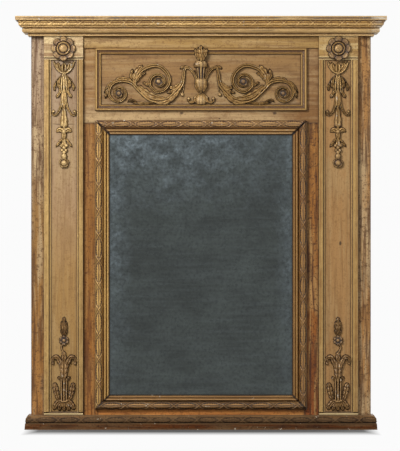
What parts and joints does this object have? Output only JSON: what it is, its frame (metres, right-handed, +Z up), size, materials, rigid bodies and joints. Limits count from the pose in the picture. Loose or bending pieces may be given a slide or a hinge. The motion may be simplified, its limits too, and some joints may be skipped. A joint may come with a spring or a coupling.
{
  "type": "overmantel mirror",
  "caption": "Tall gilt wooden overmantel mirror with pilasters, carved scroll frieze with an urn, moulded cornice and base, and an old cloudy plate.",
  "frame": {"origin": "middle of the underside of the whole mirror, on the shelf that it stands on", "axes": "+Z up, +X to the viewer's right along the width, the front faces -Y and the back +Y"},
  "size_m": [1.2, 0.108, 1.338],
  "materials": {
    "gilt_wood": "old gilding and gesso, worn",
    "field_wood": "worn varnish over softwood",
    "base_wood": "dark worn paint",
    "carving": "bronzed gilding, rubbed",
    "inner_wood": "bare old softwood",
    "mirror": "old cloudy silvering",
    "iron": "dark iron"
  },
  "bodies": {
    "frame": {"frieze_board": "gilt_wood", "frieze_top_strip": "gilt_wood", "cornice_front": "gilt_wood", "cornice_return_left": "gilt_wood", "cornice_return_right": "gilt_wood", "cornice_backing": "gilt_wood", "frieze_panel": "gilt_wood", "frieze_frame_bottom": "gilt_wood", "frieze_frame_left": "gilt_wood", "frieze_frame_right": "gilt_wood", "frieze_frame_top": "gilt_wood", "mirror_frame_bottom": "gilt_wood", "mirror_frame_left": "gilt_wood", "mirror_frame_right": "gilt_wood", "mirror_frame_top": "gilt_wood", "pilaster_left_block": "gilt_wood", "pilaster_left_foot": "gilt_wood", "pilaster_left_panel": "gilt_wood", "pilaster_left_strip_inner": "gilt_wood", "pilaster_left_strip_outer": "gilt_wood", "pilaster_right_block": "gilt_wood", "pilaster_right_foot": "gilt_wood", "pilaster_right_panel": "gilt_wood", "pilaster_right_strip_inner": "gilt_wood", "pilaster_right_strip_outer": "gilt_wood", "carcass_stile_left": "field_wood", "carcass_stile_right": "field_wood", "field_board_left": "field_wood", "field_board_right": "field_wood", "field_board_bottom": "field_wood", "base_front": "base_wood", "base_return_left": "base_wood", "base_return_right": "base_wood", "base_backing": "base_wood", "rosette_left": "carving", "rosette_right": "carving", "upper_drop_left": "carving", "upper_drop_right": "carving", "acanthus_left": "carving", "acanthus_right": "carving", "frieze_scroll_left": "carving", "frieze_scroll_right": "carving", "frieze_urn": "carving", "carcass_rail_bottom": "inner_wood", "carcass_rail_middle": "inner_wood", "carcass_rail_top": "inner_wood", "joint_pegs": "inner_wood", "top_board": "inner_wood", "plate_glue_blocks": "inner_wood", "backboard_low": "inner_wood", "backboard_middle": "inner_wood", "backboard_high": "inner_wood", "mirror_plate": "mirror", "backboard_nails": "iron", "hanger_plate_left": "iron", "hanger_plate_right": "iron", "hanger_screws": "iron"},
    "ring_left": {"hanger_ring_left": "iron"},
    "ring_right": {"hanger_ring_right": "iron"}
  },
  "joints": [
    {"name": "ring_swing_left", "type": "hinge", "parent": "frame", "child": "ring_left", "pos_m": [-0.29, 0.0464, 1.281], "axis": [1, 0, 0], "range_deg": [0, 180]},
    {"name": "ring_swing_right", "type": "hinge", "parent": "frame", "child": "ring_right", "pos_m": [0.29, 0.0464, 1.281], "axis": [1, 0, 0], "range_deg": [0, 180]}
  ]
}
